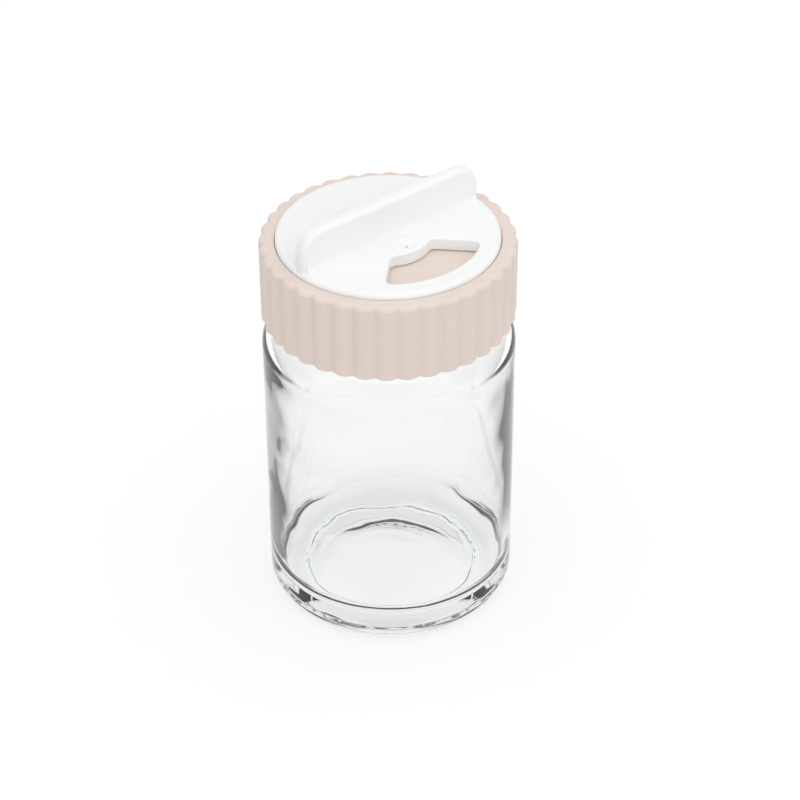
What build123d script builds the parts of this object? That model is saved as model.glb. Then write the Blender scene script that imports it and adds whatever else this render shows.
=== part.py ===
# Spice jar: a clear glass jar, a soft seal ring, a ribbed screw cap and a turning dial with a fin.
# Millimetres. The origin is the centre of the base on the resting plane, and +Z points up.

import os
from math import asin, cos, degrees, radians, sin, tan

from build123d import *

# General
cut_overrun = 1.0          # how far a cutting shape runs past the faces that it cuts
rounding_limit_share = 0.4 # largest share of a wall's thickness that the rounding of one edge may take
full_turn = 360.0

# Glass jar
body_radius = 33.0
glass_wall = 2.6
body_height = 76.0         # where the straight body ends and the shoulder begins
shoulder_step = 4.0        # how much narrower the neck is than the body, on the radius
shoulder_slope = 41.0      # degrees above level
shoulder_radius = 8.5
neck_root_radius = 2.4     # hollow round where the shoulder meets the neck
shoulder_flat_share = 0.1  # straight slope left between the two rounds, as a share of the neck's
neck_height = 26.5         # from the top of the straight body to the rim
rim_rounding = 1.0
heel_radius = 5.0
inner_heel_radius = 6.5
bearing_ring_width = 5.5   # flat ring that the jar stands on
push_up_height = 3.8       # how far the domed underside rises inside the bearing ring
push_up_rounding = 2.0     # where the dome meets the bearing ring
floor_thickness = 1.8      # glass between the top of the dome and the floor

# Screw thread between the jar and the cap
thread_starts = 2
thread_lead = 10.0         # rise in one full turn
thread_sweep = 150.0       # degrees that each start runs round
thread_height = 1.2        # how far the glass thread stands off the neck
thread_root_width = 2.2
thread_crest_width = 1.1
thread_rounding = 0.3
thread_root_sink = 0.3     # how far a thread's root reaches into its wall
thread_below_rim = 4.6     # from the rim to the upper end of the glass thread
thread_side_play = 0.5     # from a thread's crest to the wall opposite
thread_axial_play = 0.3    # between the flanks of the two threads

# Seal ring
seal_thickness = 0.7
seal_play = 0.3            # beside the seal, to the skirt and to the locating ring

# Screw cap
skirt_wall = 1.1           # to the bottom of the grooves between the ribs, before they are rounded
rib_count = 36
rib_depth = 1.2            # from a rib's crest to the bottom of the sharp groove
rib_start_angle = 4.0      # direction of the first groove, degrees from +X
rib_groove_rounding = 0.9
collar_above_body = 9.5    # from the top of the straight body to the collar's lower edge
collar_top_rounding = 1.3
collar_bottom_rounding = 0.4
deck_thickness = 1.8
dial_recess_depth = 1.9
recess_rim_width = 2.85    # from the recess to the bottom of the grooves between the ribs
locating_ring_wall = 1.0
locating_ring_height = 2.4
neck_play = 0.4            # from the locating ring to the bore of the neck
skirt_lead_in = 0.6

# Dial
dial_side_gap = 0.2
dial_underside_gap = 0.3
dial_thickness = 3.2
dial_edge_rounding = 1.3
dial_lower_chamfer = 0.3
dial_positions = 3         # closed, shaking and pouring, evenly spaced round the cap

# Fin on the dial
fin_angle = 38.8           # direction of the fin seen from above, from +X
fin_thickness = 4.0
fin_height = 10.4
fin_end_inset = 0.45       # from the dial's edge to the fin's end
fin_corner_radius = 6.2
fin_edge_rounding = 1.3
fin_root_radius = 1.8
fin_core_width = 1.4       # hollow inside the fin, open below
fin_core_inset = 2.2       # from the fin's ends and top to its hollow

# Window in the dial
window_rim_width = 4.75    # from the window to the dial's edge
window_inner_radius = 11.1
window_half_angle = 45.0
window_side_offset = 1.85  # how far each side edge is shifted in from a radial line
window_corner_radius = 2.0
window_edge_rounding = 0.4

# Moulding mark beside the fin
gate_from_window = 3.6     # from its middle to the window
gate_radius = 2.6
gate_depth = 0.8
gate_pit_radius = 0.4
gate_pit_depth = 0.9       # below the bottom of the dish

# Snap pivot that holds the dial on the deck
pivot_radius = 3.0
pivot_play = 0.08
barb_reach = 0.6           # how far the barb stands out past the pin
barb_gap = 0.2             # from the deck's underside to the barb
barb_height = 1.6
barb_tip_radius = 2.3
pivot_slot_width = 1.0

# Stop that limits the dial's turn
stop_radius = 6.6          # middle of the stop groove
stop_width = 1.8
stop_half_angle = 6.0      # degrees, half of the stop lug
stop_depth = 0.9
stop_play = 0.25
stop_play_angle = 0.5      # degrees

# Openings in the deck
opening_inset = 0.8        # how much smaller than the window the pouring opening is
hole_radius = 1.4
hole_inset = 2.4           # from the window's outline to the middle of the nearest holes
hole_row_spacing = 4.0
hole_spacing = 4.2         # least distance between the middles of neighbours in a row

# Worked out from the sizes above
rim_height = body_height + neck_height
neck_radius = body_radius - shoulder_step
bore_radius = neck_radius - glass_wall
inner_radius = body_radius - glass_wall
floor_height = push_up_height + floor_thickness
bearing_outer_radius = body_radius - heel_radius
bearing_inner_radius = bearing_outer_radius - bearing_ring_width
dome_radius = (bearing_inner_radius ** 2 + push_up_height ** 2) / (2 * push_up_height)

skirt_bore_radius = neck_radius + thread_height + thread_side_play
cap_thread_height = thread_height
groove_radius = skirt_bore_radius + skirt_wall
crest_radius = groove_radius + rib_depth
deck_underside = rim_height + seal_thickness
deck_top = deck_underside + deck_thickness
collar_top = deck_top + dial_recess_depth
collar_bottom = body_height + collar_above_body
recess_radius = groove_radius - recess_rim_width
locating_ring_radius = bore_radius - neck_play

dial_travel = full_turn / dial_positions
dial_radius = recess_radius - dial_side_gap
window_outer_radius = dial_radius - window_rim_width
gate_offset = window_inner_radius - gate_from_window
dial_underside = deck_top + dial_underside_gap
dial_top = dial_underside + dial_thickness
window_angle = fin_angle - full_turn / 4
shaker_angle = window_angle + dial_travel
pour_angle = window_angle - dial_travel
stop_angle = window_angle + full_turn / 2


def ring(outer_radius, inner_radius, bottom, top):
    """A plain ring about the jar's axis between two heights."""
    face = Circle(outer_radius) - Circle(inner_radius)
    return Pos(0, 0, bottom) * extrude(face, top - bottom)


def disc(radius, bottom, top):
    """A plain disc about the jar's axis between two heights."""
    return Pos(0, 0, bottom) * extrude(Circle(radius), top - bottom)


def turned(outline):
    """The solid made by turning an outline of (radius, height) points, already closed, about +Z."""
    return revolve(make_face(Plane.XZ * outline), Axis.Z)


def polar(radius, angle):
    return (radius * cos(radians(angle)), radius * sin(radians(angle)))


# Screw thread

def helical_ridge(wall_radius, height, bottom, angle):
    """One start of a thread. A positive height stands outwards from the wall, a negative one inwards."""
    side = 1 if height > 0 else -1
    root, crest = thread_root_width / 2, thread_crest_width / 2
    section = Polyline(
        (-side * thread_root_sink, -root),
        (0, -root),
        (height, -crest),
        (height, crest),
        (0, root),
        (-side * thread_root_sink, root),
        close=True,
    )
    section = make_face(section)
    crest_corners = section.vertices().sort_by(lambda corner: -side * corner.X)[:2]
    section = fillet(crest_corners, min(thread_rounding, crest / 2))
    path = Helix(thread_lead, thread_lead * thread_sweep / full_turn, wall_radius)
    start = Plane(origin=path @ 0, x_dir=(1, 0, 0), z_dir=path % 0)
    ridge = sweep(start * section, path, is_frenet=True)
    return Pos(0, 0, bottom) * Rot(0, 0, angle) * ridge


def thread(wall_radius, height, bottom):
    """All starts of a thread, evenly spaced round the wall."""
    step = full_turn / thread_starts
    return [helical_ridge(wall_radius, height, bottom, start * step) for start in range(thread_starts)]


def run_out_cuts(bottom, top):
    """Blocks whose flat faces graze the neck, which fade each end of the glass thread into it."""
    size = body_radius * 2
    near_face = neck_radius - thread_root_sink / 2
    block = Pos(near_face + size / 2, 0, (bottom + top) / 2) * Box(size, size, top - bottom)
    step = full_turn / thread_starts
    first_ends = [start * step for start in range(thread_starts)]
    return [Rot(0, 0, end) * block for first in first_ends for end in (first, first + thread_sweep)]


glass_thread_top = rim_height - thread_below_rim
glass_thread_bottom = glass_thread_top - thread_lead * thread_sweep / full_turn
flank_run = (thread_root_width - thread_crest_width) / 2
overlap_share = (cap_thread_height - thread_side_play) / cap_thread_height
cap_thread_drop = thread_crest_width + flank_run * overlap_share + thread_axial_play


# Glass jar

def shoulder_line_height(radius, depth):
    """Height of the shoulder's cone at a radius, on the surface that lies a depth inside the glass."""
    slope = radians(shoulder_slope)
    corner = body_height + shoulder_rounding() * shoulder_turn()
    return corner + ((body_radius - radius) * sin(slope) - depth) / cos(slope)


def shoulder_turn():
    """Tangent of half the angle that the wall turns through at the shoulder."""
    return tan(radians(full_turn / 4 - shoulder_slope) / 2)


def shoulder_rounding():
    cone_length = shoulder_step / cos(radians(shoulder_slope))
    room = cone_length / shoulder_turn() - neck_root_radius * (1 + shoulder_flat_share)
    return min(shoulder_radius, room)


def glass_jar():
    rounding = min(rim_rounding, glass_wall * rounding_limit_share)
    shoulder = shoulder_rounding()
    corners = [
        (body_radius, 0),
        (body_radius, shoulder_line_height(body_radius, 0)),
        (neck_radius, shoulder_line_height(neck_radius, 0)),
        (neck_radius, rim_height),
        (bore_radius, rim_height),
        (bore_radius, shoulder_line_height(bore_radius, glass_wall)),
        (inner_radius, shoulder_line_height(inner_radius, glass_wall)),
        (inner_radius, floor_height),
    ]
    radii = [
        heel_radius,
        shoulder,
        neck_root_radius,
        rounding,
        rounding,
        neck_root_radius + glass_wall,
        shoulder - glass_wall,
        inner_heel_radius,
    ]
    wall = FilletPolyline((bearing_inner_radius, 0), *corners, (0, floor_height), radius=radii)
    axis = Line((0, floor_height), (0, push_up_height))
    dome = RadiusArc((0, push_up_height), (bearing_inner_radius, 0), dome_radius)
    glass = turned(wall + axis + dome)
    ring_edge = glass.edges().sort_by_distance((bearing_inner_radius, 0, 0))[0]
    glass = fillet(ring_edge, push_up_rounding)
    ridges = thread(neck_radius, thread_height, glass_thread_bottom)
    cuts = run_out_cuts(body_height, rim_height)
    return glass + [ridge - cuts for ridge in ridges]


# Seal ring

def seal_ring():
    outer = skirt_bore_radius - seal_play
    inner = locating_ring_radius + seal_play
    return ring(outer, inner, rim_height, deck_underside)


# Screw cap

def ribbed_outline():
    """Outline of the collar seen from above: rounded ribs side by side, with narrow grooves between."""
    step = full_turn / rib_count
    arcs = []
    for rib in range(rib_count):
        angle = rib_start_angle + rib * step
        groove, next_groove = polar(groove_radius, angle), polar(groove_radius, angle + step)
        arcs.append(ThreePointArc(groove, polar(crest_radius, angle + step / 2), next_groove))
    outline = make_face(arcs)
    return fillet(outline.vertices(), rib_groove_rounding)


def collar():
    body = Pos(0, 0, collar_bottom) * extrude(ribbed_outline(), collar_top - collar_bottom)
    top_edges = body.faces().sort_by(Axis.Z)[-1].edges()
    body = fillet(top_edges, collar_top_rounding)
    bottom_edges = body.faces().sort_by(Axis.Z)[0].edges()
    return fillet(bottom_edges, collar_bottom_rounding)


def sector(angle, inset):
    """Face of an opening shaped like the window, that points along an angle and is an inset smaller."""
    reach = window_outer_radius * 2
    side = window_side_offset + inset
    half = window_half_angle
    apex = (side / sin(radians(half)), 0)
    left = (apex[0] + reach * cos(radians(half)), reach * sin(radians(half)))
    right = (left[0], -left[1])
    wedge = make_face(Polyline(apex, right, left, close=True))
    face = (Circle(window_outer_radius - inset) - Circle(window_inner_radius + inset)) & wedge
    face = fillet(face.vertices(), window_corner_radius)
    return Rot(0, 0, angle) * face


def shaker_hole_places():
    """Radius and angle of each shaker hole, in rows that fill the window's outline."""
    places = []
    outer_row = window_outer_radius - hole_inset
    inner_row = window_inner_radius + hole_inset
    for row in range(1 + int((outer_row - inner_row) / hole_row_spacing)):
        radius = outer_row - row * hole_row_spacing
        half_spread = window_half_angle - degrees(asin((window_side_offset + hole_inset) / radius))
        gaps = max(1, int(radians(2 * half_spread) * radius / hole_spacing))
        for index in range(gaps + 1):
            places.append((radius, half_spread * (2 * index / gaps - 1)))
    return places


def shaker_holes():
    hole = extrude(Circle(hole_radius), deck_thickness + 2 * cut_overrun)
    holes = []
    for radius, angle in shaker_hole_places():
        x, y = polar(radius, shaker_angle + angle)
        holes.append(Pos(x, y, deck_underside - cut_overrun) * hole)
    return holes


def arc_bar(angle, half_angle, inner, outer, bottom, top):
    """A bar bent about the axis, between two radii and two heights, with flat ends."""
    ends = [polar(r, side * half_angle) for side in (-1, 1) for r in (inner, outer)]
    low_inner, low_outer, high_inner, high_outer = ends
    face = make_face([
        Line(low_inner, low_outer),
        ThreePointArc(low_outer, (outer, 0), high_outer),
        Line(high_outer, high_inner),
        ThreePointArc(high_inner, (inner, 0), low_inner),
    ])
    return Pos(0, 0, bottom) * Rot(0, 0, angle) * extrude(face, top - bottom)


def stop_groove():
    half_angle = dial_travel + stop_half_angle + stop_play_angle
    inner = stop_radius - stop_width / 2 - stop_play
    outer = stop_radius + stop_width / 2 + stop_play
    return arc_bar(stop_angle, half_angle, inner, outer, deck_top - stop_depth, deck_top + cut_overrun)


def screw_cap():
    cap = collar()
    cap -= disc(recess_radius, deck_top, collar_top + cut_overrun)
    cap -= disc(skirt_bore_radius, collar_bottom - cut_overrun, deck_underside)
    lead_in = Cone(skirt_bore_radius + skirt_lead_in, skirt_bore_radius, skirt_lead_in)
    cap -= Pos(0, 0, collar_bottom + skirt_lead_in / 2) * lead_in
    cap += ring(locating_ring_radius, locating_ring_radius - locating_ring_wall,
                deck_underside - locating_ring_height, deck_underside)
    cap += thread(skirt_bore_radius, -cap_thread_height, glass_thread_bottom - cap_thread_drop)
    opening = extrude(sector(pour_angle, opening_inset), deck_thickness + 2 * cut_overrun)
    cap -= Pos(0, 0, deck_underside - cut_overrun) * opening
    cap -= shaker_holes()
    cap -= disc(pivot_radius + pivot_play, deck_underside - cut_overrun, deck_top + cut_overrun)
    return cap - stop_groove()


# Dial

def dial_plate():
    plate = disc(dial_radius, dial_underside, dial_top)
    plate = fillet(plate.edges().sort_by(Axis.Z)[-1], dial_edge_rounding)
    plate = chamfer(plate.edges().sort_by(Axis.Z)[0], dial_lower_chamfer)
    cutter = extrude(sector(window_angle, 0), dial_thickness + 2 * cut_overrun)
    plate -= Pos(0, 0, dial_underside - cut_overrun) * cutter
    window_rim = plate.faces().sort_by(Axis.Z)[-1].inner_wires()[0].edges()
    plate = fillet(window_rim, window_edge_rounding)
    return plate - gate_mark()


def gate_mark():
    """The hollow of the moulding mark: a shallow dish with a small pit at its bottom."""
    x, y = polar(gate_offset, window_angle)
    ball_radius = (gate_radius ** 2 + gate_depth ** 2) / (2 * gate_depth)
    bottom = dial_top - gate_depth
    dish = Pos(x, y, bottom + ball_radius) * Sphere(ball_radius)
    pit = Pos(x, y, bottom - gate_pit_depth) * extrude(Circle(gate_pit_radius), gate_pit_depth + gate_depth)
    return dish + pit


def fin():
    """The upright finger grip, drawn along +X and then turned to its direction."""
    half_length = dial_radius - fin_end_inset
    top = dial_top + fin_height
    root = dial_top - dial_thickness / 2
    outline = Pos(0, (root + top) / 2) * Rectangle(2 * half_length, top - root)
    outline = fillet(outline.vertices().sort_by(Axis.Y)[-2:], fin_corner_radius)
    plate = Pos(0, fin_thickness / 2, 0) * extrude(Plane.XZ * outline, fin_thickness)
    side_faces = plate.faces().sort_by(Axis.Y)
    side_edges = side_faces[0].edges() + side_faces[-1].edges()
    rim_edges = [edge for edge in side_edges if edge.bounding_box().max.Z > dial_top]
    plate = fillet(rim_edges, min(fin_edge_rounding, fin_thickness * rounding_limit_share))
    return Rot(0, 0, fin_angle) * (plate + fin_roots() - fin_cores())


def fin_roots():
    """Hollow rounds along both sides of the fin, where it grows out of the dial."""
    half = fin_thickness / 2
    corner = (half, dial_top)
    foot = (half + fin_root_radius, dial_top)
    head = (half, dial_top + fin_root_radius)
    section = make_face([
        Line(corner, foot),
        RadiusArc(foot, head, fin_root_radius),
        Line(head, corner),
    ])
    length = 2 * (dial_radius - dial_edge_rounding)
    strip = Pos(-length / 2, 0, 0) * extrude(Plane.YZ * section, length)
    within = disc(dial_radius - dial_edge_rounding, dial_top - cut_overrun, dial_top + fin_height)
    return [strip & within, Rot(0, 0, full_turn / 2) * (strip & within)]


def fin_cores():
    """Hollows inside the fin, one each side of the pivot, which keep the moulding at an even wall."""
    inner = pivot_radius + fin_core_inset
    outer = dial_radius - fin_end_inset - fin_core_inset
    bottom = dial_underside - cut_overrun
    top = dial_top + fin_height - fin_core_inset
    block = Box(outer - inner, fin_core_width, top - bottom)
    block = Pos((inner + outer) / 2, 0, (bottom + top) / 2) * block
    return [block, Rot(0, 0, full_turn / 2) * block]


def pivot():
    """Split pin with a barb that snaps through the deck's centre hole."""
    barb_top = deck_underside - barb_gap
    barb_bottom = barb_top - barb_height
    barb_radius = pivot_radius + barb_reach
    outline = Polyline(
        (0, dial_underside + dial_thickness / 2),
        (pivot_radius, dial_underside + dial_thickness / 2),
        (pivot_radius, barb_top),
        (barb_radius, barb_top),
        (barb_tip_radius, barb_bottom),
        (0, barb_bottom),
        close=True,
    )
    pin = turned(outline)
    slot_top = dial_underside
    slot_height = slot_top - barb_bottom + cut_overrun
    slot = Box(2 * (barb_radius + cut_overrun), pivot_slot_width, slot_height)
    slot = Pos(0, 0, slot_top - slot_height / 2) * slot
    return pin - slot - Rot(0, 0, full_turn / 4) * slot


def stop_lug():
    bottom = deck_top - stop_depth + stop_play
    inner, outer = stop_radius - stop_width / 2, stop_radius + stop_width / 2
    return arc_bar(stop_angle, stop_half_angle, inner, outer, bottom, dial_underside + stop_depth)


def dial():
    cores = [Rot(0, 0, fin_angle) * core for core in fin_cores()]
    return dial_plate() - cores + fin() + pivot() + stop_lug()


pieces = {
    "glass_jar": glass_jar,
    "seal_ring": seal_ring,
    "screw_cap": screw_cap,
    "dial": dial,
}

os.makedirs("parts", exist_ok=True)
for name, make in pieces.items():
    export_step(make(), f"parts/{name}.step")
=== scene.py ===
from math import cos, hypot, pi, radians, sin, sqrt, tan

import bpy
from mathutils import Matrix, Vector, noise


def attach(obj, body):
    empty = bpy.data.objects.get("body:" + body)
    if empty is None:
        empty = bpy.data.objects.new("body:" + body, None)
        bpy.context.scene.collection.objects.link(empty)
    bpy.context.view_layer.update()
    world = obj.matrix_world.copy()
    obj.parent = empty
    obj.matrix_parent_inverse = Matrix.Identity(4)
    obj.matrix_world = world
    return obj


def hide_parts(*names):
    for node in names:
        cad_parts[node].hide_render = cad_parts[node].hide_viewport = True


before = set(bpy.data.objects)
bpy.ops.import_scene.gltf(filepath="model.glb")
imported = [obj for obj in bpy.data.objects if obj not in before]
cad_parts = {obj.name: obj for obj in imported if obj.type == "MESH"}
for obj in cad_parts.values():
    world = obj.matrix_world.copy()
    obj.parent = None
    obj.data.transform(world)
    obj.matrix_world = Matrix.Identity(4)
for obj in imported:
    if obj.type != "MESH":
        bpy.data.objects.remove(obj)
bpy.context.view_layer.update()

MM = 0.001

# Sizes of the glass: the CAD part's, but for the shoulder's radius, which is smaller here
BODY_RADIUS = 33.0 * MM
WALL = 2.6 * MM
BODY_HEIGHT = 76.0 * MM
SHOULDER_STEP = 4.0 * MM
SHOULDER_SLOPE = radians(41)
SHOULDER_RADIUS = 5.9 * MM
NECK_ROOT_RADIUS = 2.4 * MM
RIM_HEIGHT = 102.5 * MM
RIM_ROUNDING = 1.0 * MM
HEEL_RADIUS = 5.0 * MM
INNER_HEEL_RADIUS = 6.5 * MM
BEARING_WIDTH = 5.5 * MM
PUSH_UP_HEIGHT = 3.8 * MM
PUSH_UP_ROUNDING = 2.0 * MM
FLOOR_THICKNESS = 1.8 * MM
NECK_RADIUS = BODY_RADIUS - SHOULDER_STEP
BORE_RADIUS = NECK_RADIUS - WALL
INNER_RADIUS = BODY_RADIUS - WALL
FLOOR_HEIGHT = PUSH_UP_HEIGHT + FLOOR_THICKNESS
BEARING_OUTER = BODY_RADIUS - HEEL_RADIUS
BEARING_INNER = BEARING_OUTER - BEARING_WIDTH
DOME_RADIUS = (BEARING_INNER ** 2 + PUSH_UP_HEIGHT ** 2) / (2 * PUSH_UP_HEIGHT)

THREAD_STARTS = 2
THREAD_LEAD = 10.0 * MM
THREAD_SWEEP = radians(150)
THREAD_HEIGHT = 1.2 * MM
THREAD_ROOT = 2.2 * MM
THREAD_CREST = 1.1 * MM
THREAD_FADE = radians(9)
THREAD_TOP = RIM_HEIGHT - 4.6 * MM
THREAD_BOTTOM = THREAD_TOP - THREAD_LEAD * THREAD_SWEEP / (2 * pi)

# Small forms that only the dressed glass has. The insets are from the standing ring's inner edge.
KNURLS = 42                      # dots pressed round the ring that the jar stands on
KNURL_HEIGHT = 0.2 * MM
KNURL_MEAN_SHARE = 0.65          # of that height, on average, because it varies round the ring
KNURL_RADIUS = 1.1 * MM
KNURL_INSET = 1.5 * MM
TRACK_FULL = 1.0 * MM            # half the width of the raised track between the dots, where it is level
TRACK_FADED = 1.7 * MM           # and where it ends
GROOVE_DEPTH = 0.45 * MM         # of the fine uneven groove beside the dots
GROOVE_MEAN_SHARE = 0.7          # of that depth, on average
GROOVE_HALF_WIDTH = 0.75 * MM
GROOVE_INSET = 0.5 * MM
BORE_OFFSET = 0.18 * MM          # how far off the middle the inside of the blown wall lies
OUTER_DRAW = 0.1 * MM            # how far at most the outside of the wall is drawn in
FLOOR_EDGE = 0.8 * NECK_RADIUS   # where the inside begins to turn from floor into wall
FLOOR_FADE = 0.1 * BODY_RADIUS   # and how far on it is all wall

# Waves of the glass: size, a seed, how close they lie round the jar, and how many to a metre along it.
# The size is a length, or a share of the size that the wave changes.
WALL_WAVE = (0.2 * MM, 3, 1.6, 60)
WALL_RIPPLE = (0.09 * MM, 9, 4, 130)
FLOOR_WAVE = (0.12 * MM, 5, 1.2, 90)
FLOOR_RIPPLE = (0.07 * MM, 8, 5, 200)
OUTER_WAVE = (1, 7, 1.2, 40)
KNURL_WAVE = (0.7, 11, 1.5, 1)
GROOVE_DEPTH_WAVE = (0.8, 17, 4, 1)
GROOVE_PLACE_WAVE = (0.35 * MM, 13, 2.5, 1)

# Fineness of the glass's mesh
GLASS_SEGMENTS = 10 * KNURLS     # round the jar
ARC_STEP = 0.55 * MM             # about the step along a rounded part of the outline
ARC_TURN = radians(11)           # and about the most that it turns in one
ARC_LEAST = 3                    # fewest steps along a rounded part
LINE_STEP = 1.6 * MM             # about the step along a straight part of the outline
DOME_STEP = 2 * LINE_STEP        # more than the dome's own points are apart, so that none are added
RING_STEP = 0.15 * MM            # on the ring that the jar stands on, with its dots and groove
WALL_STEP = 4 * MM               # on the outside of the straight wall
NECK_STEP = 0.5 * MM             # on the neck, which carries the thread
NEAR = 0.001 * MM                # two sizes this close are the same


# Outline of the glass

def shoulder_corner_height(radius, depth):
    """Height of the shoulder's cone at a radius, on the surface that lies a depth inside the glass."""
    turn = tan((pi / 2 - SHOULDER_SLOPE) / 2)
    corner = BODY_HEIGHT + SHOULDER_RADIUS * turn
    return corner + ((BODY_RADIUS - radius) * sin(SHOULDER_SLOPE) - depth) / cos(SHOULDER_SLOPE)


def dome_corners():
    """Points of the domed underside in half section, from the axis outwards."""
    count = round(BEARING_INNER / LINE_STEP)
    radii = [BEARING_INNER * i / count for i in range(count)]
    heights = [PUSH_UP_HEIGHT - DOME_RADIUS + sqrt(DOME_RADIUS ** 2 - radius ** 2) for radius in radii]
    return [(radius, height, 0, DOME_STEP) for radius, height in zip(radii, heights)]


def glass_corners():
    """Corners of the glass's half section, each with its rounding and the step along the line after it."""
    return dome_corners() + [
        (BEARING_INNER, 0, PUSH_UP_ROUNDING, RING_STEP),
        (BODY_RADIUS, 0, HEEL_RADIUS, WALL_STEP),
        (BODY_RADIUS, shoulder_corner_height(BODY_RADIUS, 0), SHOULDER_RADIUS, LINE_STEP),
        (NECK_RADIUS, shoulder_corner_height(NECK_RADIUS, 0), NECK_ROOT_RADIUS, NECK_STEP),
        (NECK_RADIUS, RIM_HEIGHT, RIM_ROUNDING, LINE_STEP),
        (BORE_RADIUS, RIM_HEIGHT, RIM_ROUNDING, LINE_STEP),
        (BORE_RADIUS, shoulder_corner_height(BORE_RADIUS, WALL), NECK_ROOT_RADIUS + WALL, LINE_STEP),
        (INNER_RADIUS, shoulder_corner_height(INNER_RADIUS, WALL), SHOULDER_RADIUS - WALL, LINE_STEP),
        (INNER_RADIUS, FLOOR_HEIGHT, INNER_HEEL_RADIUS, LINE_STEP),
        (0, FLOOR_HEIGHT, 0, LINE_STEP),
    ]


def rounded_outline(corners):
    """Points along a polyline whose corners are rounded, about each part's step apart."""
    points, line_step = [], LINE_STEP
    for index, (x, y, radius, next_line_step) in enumerate(corners):
        here = Vector((x, y))
        if radius == 0:
            arc = [here]
        else:
            before = (Vector(corners[index - 1][:2]) - here).normalized()
            after = (Vector(corners[index + 1][:2]) - here).normalized()
            arc = corner_arc(here, before, after, radius)
        if points:
            points += line_points(points[-1], arc[0], line_step)
        points += arc
        line_step = next_line_step
    return points


def corner_arc(corner, before, after, radius):
    """Points of the arc that rounds a corner between two directions that lead away from it."""
    half = before.angle(after) / 2
    middle = (before + after).normalized()
    centre = corner + middle * (radius / sin(half))
    start = corner + before * (radius / tan(half)) - centre
    end = corner + after * (radius / tan(half)) - centre
    sweep = start.angle_signed(end)
    count = max(ARC_LEAST, round(abs(sweep) * radius / ARC_STEP), round(abs(sweep) / ARC_TURN))
    return [centre + turned(start, -sweep * i / count) for i in range(count + 1)]


def turned(vector, angle):
    """A flat vector turned by an angle."""
    across = vector.x * cos(angle) - vector.y * sin(angle)
    up = vector.x * sin(angle) + vector.y * cos(angle)
    return Vector((across, up))


def line_points(start, end, step):
    """Points between two others, without either of them."""
    count = max(1, round((end - start).length / step))
    return [start.lerp(end, i / count) for i in range(1, count)]


# Surface of the glass

def smooth(value):
    """0 below 0, 1 above 1, and an even curve between."""
    value = min(1, max(0, value))
    return value * value * (3 - 2 * value)


def thread_relief(angle, height):
    """How far the screw thread stands off the neck."""
    relief = 0
    for start in range(THREAD_STARTS):
        along = (angle - start * 2 * pi / THREAD_STARTS) % (2 * pi)
        if along > pi + THREAD_SWEEP / 2:
            along -= 2 * pi
        middle = THREAD_BOTTOM + THREAD_LEAD * along / (2 * pi)
        flank = (THREAD_ROOT / 2 - abs(height - middle)) / ((THREAD_ROOT - THREAD_CREST) / 2)
        end = min(along, THREAD_SWEEP - along) / THREAD_FADE
        relief = max(relief, THREAD_HEIGHT * smooth(flank) * smooth(end))
    return relief


def wave(angle, along, size, seed, round_scale, long_scale):
    """Slow unevenness of blown glass, about -size to size."""
    place = Vector((cos(angle) * round_scale, sin(angle) * round_scale, along * long_scale + seed))
    return size * noise.noise(place)


def knurl_relief(angle, radius):
    """How far the underside is raised between the dots of the standing ring, which reach the table."""
    pitch = 2 * pi / KNURLS
    across = (angle + pitch / 2) % pitch - pitch / 2
    middle = BEARING_INNER + KNURL_INSET
    off_dot = hypot(across * middle, radius - middle) / KNURL_RADIUS
    off_track = (abs(radius - middle) - TRACK_FULL) / (TRACK_FADED - TRACK_FULL)
    depth = KNURL_HEIGHT * (KNURL_MEAN_SHARE + wave(angle, 0, *KNURL_WAVE))
    return depth * smooth(off_dot) * (1 - smooth(off_track))


def groove_relief(angle, radius):
    """How far the underside is raised in the groove that runs round the inner edge of the ring."""
    middle = BEARING_INNER + GROOVE_INSET + wave(angle, 0, *GROOVE_PLACE_WAVE)
    depth = GROOVE_DEPTH * (GROOVE_MEAN_SHARE + wave(angle, 0, *GROOVE_DEPTH_WAVE))
    return depth * (1 - smooth(abs(radius - middle) / GROOVE_HALF_WIDTH))


def inside_point(radius, height, angle):
    """Radius and height of a point on the inside of the glass, with the waves of its wall and floor."""
    wall_share = smooth((radius - FLOOR_EDGE) / FLOOR_FADE)
    below_shoulder = smooth((BODY_HEIGHT - height) / SHOULDER_RADIUS)
    near_heel = smooth(2 * radius / BEARING_INNER - 1)
    drift = wave(angle, height, *WALL_WAVE) + wave(angle, height, *WALL_RIPPLE)
    radius += (drift + BORE_OFFSET * (cos(angle) - 1)) * wall_share * below_shoulder
    floor_waves = wave(angle, radius, *FLOOR_WAVE) + wave(angle, radius, *FLOOR_RIPPLE) * near_heel
    return radius, height + floor_waves * (1 - wall_share)


def outside_point(radius, height, angle):
    """Radius and height of a point on the outside, with its thread, dots, groove and waves."""
    if radius > BEARING_OUTER and height < BODY_HEIGHT:
        radius -= OUTER_DRAW * (1 + wave(angle, height, *OUTER_WAVE)) / 2
    elif height > BODY_HEIGHT and radius > NECK_RADIUS - NEAR:
        radius += thread_relief(angle, height)
    if height < PUSH_UP_HEIGHT / 2:
        height += knurl_relief(angle, radius) + groove_relief(angle, radius)
    return radius, height


def glass_point(outline_point, angle, inside):
    """A point of the glass's surface."""
    surface = inside_point if inside else outside_point
    radius, height = surface(*outline_point, angle)
    return (radius * cos(angle), radius * sin(angle), height)


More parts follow.
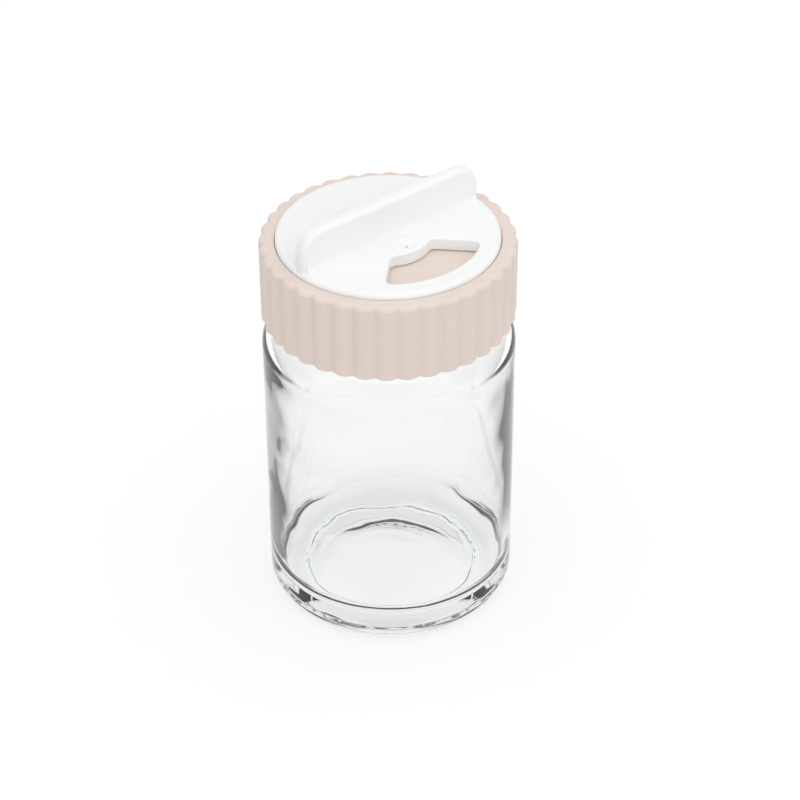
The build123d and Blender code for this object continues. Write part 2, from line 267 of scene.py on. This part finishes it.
def turned_mesh(name, outline, inside_from):
    """A closed mesh from an outline that begins and ends on the axis."""
    vertices, faces = [], []
    rings = len(outline) - 2
    for index, point in enumerate(outline[1:-1], start=1):
        for segment in range(GLASS_SEGMENTS):
            vertices.append(glass_point(point, segment * 2 * pi / GLASS_SEGMENTS, index >= inside_from))
    for ring in range(rings - 1):
        for segment in range(GLASS_SEGMENTS):
            following = (segment + 1) % GLASS_SEGMENTS
            low, high = ring * GLASS_SEGMENTS, (ring + 1) * GLASS_SEGMENTS
            faces.append((low + segment, low + following, high + following, high + segment))
    for end, ring in ((outline[0], 0), (outline[-1], rings - 1)):
        pole = len(vertices)
        vertices.append((0, 0, end[1]))
        for segment in range(GLASS_SEGMENTS):
            here = ring * GLASS_SEGMENTS + segment
            following = ring * GLASS_SEGMENTS + (segment + 1) % GLASS_SEGMENTS
            faces.append((pole, following, here) if ring == 0 else (pole, here, following))
    mesh = bpy.data.meshes.new(name)
    mesh.from_pydata(vertices, [], faces)
    mesh.polygons.foreach_set("use_smooth", [True] * len(mesh.polygons))
    mesh.update()
    return mesh


def make_glass():
    """The glass with its waves, dots and thread, which stands for the CAD's plain one."""
    outline = rounded_outline(glass_corners())
    rim_middle = (NECK_RADIUS + BORE_RADIUS) / 2
    inside_from = next(i for i, p in enumerate(outline) if p.y > RIM_HEIGHT - NEAR and p.x < rim_middle)
    glass = bpy.data.objects.new("glass_jar_dressed", turned_mesh("glass_jar_dressed", outline, inside_from))
    bpy.context.scene.collection.objects.link(glass)
    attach(glass, "jar")
    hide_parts("glass_jar")
    return glass


# Materials

PLASTIC_IOR = 1.49
GLASS_IOR = 1.5
SCATTER_LENGTH = 1 * MM          # how far light spreads in the plastics, times each colour's radius
GLASS_TINTS = ((0.974, 0.984, 0.98), (0.982, 0.99, 0.986))
GLASS_ROUGHNESS = (0.0, 0.02)
GLASS_SHADOW = (0.99, 0.995, 0.992, 1)   # share of the light that each surface lets through
GLASS_WAVE_HEIGHT = 0.02 * MM
NOISE_SPREAD = (0.35, 0.65)      # most of a noise texture's values lie between these

# Noise textures: features in a metre, and detail
FLOW_MARKS = (90, 3)
SHEEN_MARKS = (260, 4)
PLASTIC_GRAIN = (2600, 2)
TINT_MARKS = (30, 1)
SMEARS = (120, 2)
GLASS_WAVES = (140, 1)


def new_material(name):
    """A new node material, with its tree and its Principled shader."""
    material = bpy.data.materials.new(name)
    material.use_nodes = True
    tree = material.node_tree
    return material, tree, tree.nodes["Principled BSDF"]


def noise_value(tree, scale, detail):
    """The factor of a noise texture in the part's own frame."""
    place = tree.nodes.new("ShaderNodeTexCoord")
    texture = tree.nodes.new("ShaderNodeTexNoise")
    texture.inputs["Scale"].default_value = scale
    texture.inputs["Detail"].default_value = detail
    tree.links.new(place.outputs["Object"], texture.inputs["Vector"])
    return texture.outputs["Fac"]


def calculated(tree, operation, first, second):
    """The result of a math node on two others' outputs."""
    node = tree.nodes.new("ShaderNodeMath")
    node.operation = operation
    tree.links.new(first, node.inputs[0])
    tree.links.new(second, node.inputs[1])
    return node.outputs["Value"]


def between(tree, factor, low, high):
    """A number that goes from low to high as a factor goes from 0 to 1, and no further."""
    node = tree.nodes.new("ShaderNodeMapRange")
    node.inputs["To Min"].default_value = low
    node.inputs["To Max"].default_value = high
    tree.links.new(factor, node.inputs["Value"])
    return node.outputs["Result"]


def mottled(tree, factor, first, second):
    """A colour between two others, by a noise factor spread over its usual range."""
    ramp = tree.nodes.new("ShaderNodeValToRGB")
    for element, position, color in zip(ramp.color_ramp.elements, NOISE_SPREAD, (first, second)):
        element.position = position
        element.color = (*color, 1)
    tree.links.new(factor, ramp.inputs["Fac"])
    return ramp.outputs["Color"]


def bumped(tree, shader, factor, height):
    """Gives the shader a bump of a height in metres."""
    bump = tree.nodes.new("ShaderNodeBump")
    bump.inputs["Distance"].default_value = height
    bump.inputs["Strength"].default_value = 1
    tree.links.new(factor, bump.inputs["Height"])
    tree.links.new(bump.outputs["Normal"], shader.inputs["Normal"])


def plastic(name, first, second, roughness, grain, subsurface, radius):
    """Moulded polypropylene: faint flow marks in the colour, an uneven sheen and a fine surface grain."""
    material, tree, shader = new_material(name)
    flow = noise_value(tree, *FLOW_MARKS)
    tree.links.new(mottled(tree, flow, first, second), shader.inputs["Base Color"])
    sheen = noise_value(tree, *SHEEN_MARKS)
    tree.links.new(between(tree, sheen, *roughness), shader.inputs["Roughness"])
    bumped(tree, shader, noise_value(tree, *PLASTIC_GRAIN), grain)
    shader.inputs["IOR"].default_value = PLASTIC_IOR
    shader.inputs["Subsurface Weight"].default_value = subsurface
    shader.inputs["Subsurface Radius"].default_value = radius
    shader.inputs["Subsurface Scale"].default_value = SCATTER_LENGTH
    return material


def pink_plastic():
    """The cap's."""
    return plastic(
        "pink_plastic", (0.79, 0.675, 0.61), (0.80, 0.69, 0.625),
        roughness=(0.42, 0.52), grain=0.012 * MM, subsurface=0.12, radius=(1.0, 0.7, 0.6))


def white_plastic():
    """The dial's."""
    return plastic(
        "white_plastic", (0.90, 0.91, 0.905), (0.915, 0.925, 0.92),
        roughness=(0.3, 0.4), grain=0.008 * MM, subsurface=0.15, radius=(1.0, 0.95, 0.9))


def seal_material():
    """The seal's, softer and duller than the rest."""
    return plastic(
        "seal", (0.78, 0.78, 0.76), (0.82, 0.82, 0.80),
        roughness=(0.6, 0.7), grain=0.01 * MM, subsurface=0.1, radius=(1.0, 0.95, 0.9))


def clear_glass():
    """Clear container glass with faint surface unevenness. Shadow rays pass it, so light gets through."""
    material, tree, shader = new_material("clear_glass")
    shader.inputs["Transmission Weight"].default_value = 1.0
    shader.inputs["IOR"].default_value = GLASS_IOR
    tint = noise_value(tree, *TINT_MARKS)
    tree.links.new(mottled(tree, tint, *GLASS_TINTS), shader.inputs["Base Color"])
    smear = noise_value(tree, *SMEARS)
    tree.links.new(between(tree, smear, *GLASS_ROUGHNESS), shader.inputs["Roughness"])
    bumped(tree, shader, noise_value(tree, *GLASS_WAVES), GLASS_WAVE_HEIGHT)
    through = tree.nodes.new("ShaderNodeBsdfTransparent")
    through.inputs["Color"].default_value = GLASS_SHADOW
    path = tree.nodes.new("ShaderNodeLightPath")
    mix = tree.nodes.new("ShaderNodeMixShader")
    tree.links.new(path.outputs["Is Shadow Ray"], mix.inputs["Fac"])
    tree.links.new(shader.outputs["BSDF"], mix.inputs[1])
    tree.links.new(through.outputs["BSDF"], mix.inputs[2])
    tree.links.new(mix.outputs["Shader"], tree.nodes["Material Output"].inputs["Surface"])
    return material


def dress(obj, material):
    """Gives an object one material, on the object and its mesh."""
    obj.data.materials.clear()
    obj.data.materials.append(material)
    obj.material_slots[0].link = "OBJECT"
    obj.material_slots[0].material = material


# Studio

AXIS = (0, 0, 0)
PURE_WHITE = (1, 1, 1, 1)
FLOOR_RADIUS = 1.2
FLOOR_CORNERS = 96
FLOOR_GAP = 0.02 * MM            # keeps the foot of the glass and the floor out of one plane
FLOOR_TONE = 0.7
FLOOR_LIFT = 0.32                # how much lighter the floor is where it is seen
PAINTED_POOL_LIFT = 0.1              # painted pool of light on the floor below the glass, for light that the glass would gather there
PAINTED_POOL_REACH = (0.018, 0.034)     # how far out that painted light goes, to all of it and to none
ROOM_TONE = 0.8                  # of the backdrop, as reflections inside the glass show it
PAINTED_SIDE_SHADE_TONE = 0.38                 # painted shade of the floor round the jar, as those reflections show it
SIDE_SHADE_REACH = (0.09, 0.15)        # how far out it goes: distances from the axis, to all of it and to none
SIDE_SHADE_START = (0.04, 0.065)       # and where it begins: distances from the axis, to no darkening and to all
SHADE_PATCH_TONE = 0.18                 # of two darker patches of it beside the jar, which are painted shade
SHADE_PATCH_PLACES = ((0.07, 0.045, 0), (-0.058, 0.016, 0))
SHADE_PATCH_REACHES = ((0.02, 0.05), (0.024, 0.026))
LIGHT_PLAIN = 0.58               # strength of the soft light that comes from everywhere
LIGHT_LEAN = (0.13, -0.35, 0.655)    # how it grows towards a side, the front and the top
CAMERA_PLACE = Vector((2.8013, -553.3272, 457.3331)) * MM
CAMERA_DOWN = 0.6276             # below level, radians
CAMERA_ROLL = -0.0055            # radians
CAMERA_LENS = 116.08             # millimetres
CAMERA_SENSOR = 36               # millimetres wide
CAMERA_CLIP = (0.05, 50)


def make_camera():
    """The camera where the photograph was taken from."""
    data = bpy.data.cameras.new("camera")
    data.lens = CAMERA_LENS
    data.sensor_width = CAMERA_SENSOR
    data.clip_start, data.clip_end = CAMERA_CLIP
    camera = bpy.data.objects.new("camera", data)
    bpy.context.scene.collection.objects.link(camera)
    tilt = Matrix.Rotation(pi / 2 - CAMERA_DOWN, 4, "X")
    camera.matrix_world = Matrix.Translation(CAMERA_PLACE) @ tilt @ Matrix.Rotation(CAMERA_ROLL, 4, "Z")
    bpy.context.scene.camera = camera


def seen_directly(tree):
    """1 for camera rays and for rays that glass or gloss sends on, otherwise 0."""
    path = tree.nodes.new("ShaderNodeLightPath").outputs
    sent_on = calculated(tree, "MAXIMUM", path["Is Glossy Ray"], path["Is Transmission Ray"])
    return calculated(tree, "MAXIMUM", path["Is Camera Ray"], sent_on)


def nearness(tree, middle, reach):
    """1 within the first distance of a place on the floor, 0 beyond the second, and smooth between."""
    place = tree.nodes.new("ShaderNodeNewGeometry")
    away = tree.nodes.new("ShaderNodeVectorMath")
    away.operation = "DISTANCE"
    tree.links.new(place.outputs["Position"], away.inputs[0])
    away.inputs[1].default_value = middle
    fade = tree.nodes.new("ShaderNodeMapRange")
    fade.interpolation_type = "SMOOTHSTEP"
    fade.inputs["From Min"].default_value, fade.inputs["From Max"].default_value = reach
    fade.inputs["To Min"].default_value = 1
    fade.inputs["To Max"].default_value = 0
    tree.links.new(away.outputs["Value"], fade.inputs["Value"])
    return fade.outputs["Result"]


def reflected_inside(tree):
    """0, or 1 and more for a ray that has been both reflected and refracted, as inside the glass."""
    path = tree.nodes.new("ShaderNodeLightPath").outputs
    return calculated(tree, "MINIMUM", path["Glossy Depth"], path["Transmission Depth"])


def floor_painted_shade(tree):
    """1, or less where the floor has painted shade, round the jar and in two patches beside it. Only
    reflections inside the glass see it, and it draws the glass's edges.
    """
    inside = reflected_inside(tree)
    outer, inner = nearness(tree, AXIS, SIDE_SHADE_REACH), nearness(tree, AXIS, SIDE_SHADE_START)
    beside_jar = calculated(tree, "SUBTRACT", outer, inner)
    # painted shade: two darker patches of the floor beside the jar, seen only in reflections inside the glass
    shade_patches = [nearness(tree, *patch) for patch in zip(SHADE_PATCH_PLACES, SHADE_PATCH_REACHES)]
    # painted shade on the floor round the jar, seen only in reflections inside the glass
    edges = between(tree, calculated(tree, "MULTIPLY", inside, beside_jar), 1, PAINTED_SIDE_SHADE_TONE)
    on_shade_patch = calculated(tree, "MULTIPLY", inside, calculated(tree, "MAXIMUM", *shade_patches))
    return calculated(tree, "MULTIPLY", edges, between(tree, on_shade_patch, 1, SHADE_PATCH_TONE))


def floor_material():
    """Pale, a little lifted in tone where it is seen, so that it joins the white backdrop, with a painted
    pool of light below the jar and painted shade round it that only reflections inside the glass see.
    """
    material, tree, shader = new_material("floor")
    tree.nodes.remove(shader)
    diffuse = tree.nodes.new("ShaderNodeBsdfDiffuse")
    glow = tree.nodes.new("ShaderNodeEmission")
    shade = floor_painted_shade(tree)
    # the floor's colour, darkened by the painted shade
    tree.links.new(between(tree, shade, 0, FLOOR_TONE), diffuse.inputs["Color"])
    # even lift where the floor is seen, plus a painted pool of light below the jar
    lift_and_painted_pool = between(tree, nearness(tree, AXIS, PAINTED_POOL_REACH), FLOOR_LIFT, FLOOR_LIFT + PAINTED_POOL_LIFT)
    lift = calculated(tree, "MULTIPLY", seen_directly(tree), lift_and_painted_pool)
    # the glow, darkened by the same painted shade
    tree.links.new(calculated(tree, "MULTIPLY", lift, shade), glow.inputs["Strength"])
    add = tree.nodes.new("ShaderNodeAddShader")
    tree.links.new(diffuse.outputs["BSDF"], add.inputs[0])
    tree.links.new(glow.outputs["Emission"], add.inputs[1])
    tree.links.new(add.outputs["Shader"], tree.nodes["Material Output"].inputs["Surface"])
    return material


def make_floor():
    """A plain disc below the jar."""
    mesh = bpy.data.meshes.new("floor")
    angles = [2 * pi * i / FLOOR_CORNERS for i in range(FLOOR_CORNERS)]
    corners = [(FLOOR_RADIUS * cos(angle), FLOOR_RADIUS * sin(angle), -FLOOR_GAP) for angle in angles]
    mesh.from_pydata(corners, [], [tuple(range(FLOOR_CORNERS))])
    floor = bpy.data.objects.new("floor", mesh)
    bpy.context.scene.collection.objects.link(floor)
    dress(floor, floor_material())


def sky_light(tree):
    """Strength of the soft light by its direction: most from above, and more from the front than the back."""
    direction = tree.nodes.new("ShaderNodeTexCoord")
    lean = tree.nodes.new("ShaderNodeVectorMath")
    lean.operation = "DOT_PRODUCT"
    tree.links.new(direction.outputs["Generated"], lean.inputs[0])
    lean.inputs[1].default_value = LIGHT_LEAN
    strength = tree.nodes.new("ShaderNodeMath")
    strength.operation = "ADD"
    tree.links.new(lean.outputs["Value"], strength.inputs[0])
    strength.inputs[1].default_value = LIGHT_PLAIN
    return strength.outputs["Value"]


def make_world():
    """A white studio: plain soft light for surfaces, white backdrop for what is seen directly."""
    world = bpy.data.worlds.new("studio")
    bpy.context.scene.world = world
    world.use_nodes = True
    tree = world.node_tree
    light = tree.nodes["Background"]
    light.inputs["Color"].default_value = PURE_WHITE
    tree.links.new(sky_light(tree), light.inputs["Strength"])
    backdrop = tree.nodes.new("ShaderNodeBackground")
    backdrop.inputs["Color"].default_value = PURE_WHITE
    tree.links.new(between(tree, reflected_inside(tree), 1, ROOM_TONE), backdrop.inputs["Strength"])
    mix = tree.nodes.new("ShaderNodeMixShader")
    tree.links.new(seen_directly(tree), mix.inputs["Fac"])
    tree.links.new(light.outputs["Background"], mix.inputs[1])
    tree.links.new(backdrop.outputs["Background"], mix.inputs[2])
    tree.links.new(mix.outputs["Shader"], tree.nodes["World Output"].inputs["Surface"])


dress(make_glass(), clear_glass())
dress(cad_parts["screw_cap"], pink_plastic())
dress(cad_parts["dial"], white_plastic())
dress(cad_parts["seal_ring"], seal_material())

make_floor()
make_world()
make_camera()

bpy.context.scene.view_settings.view_transform = "Standard"
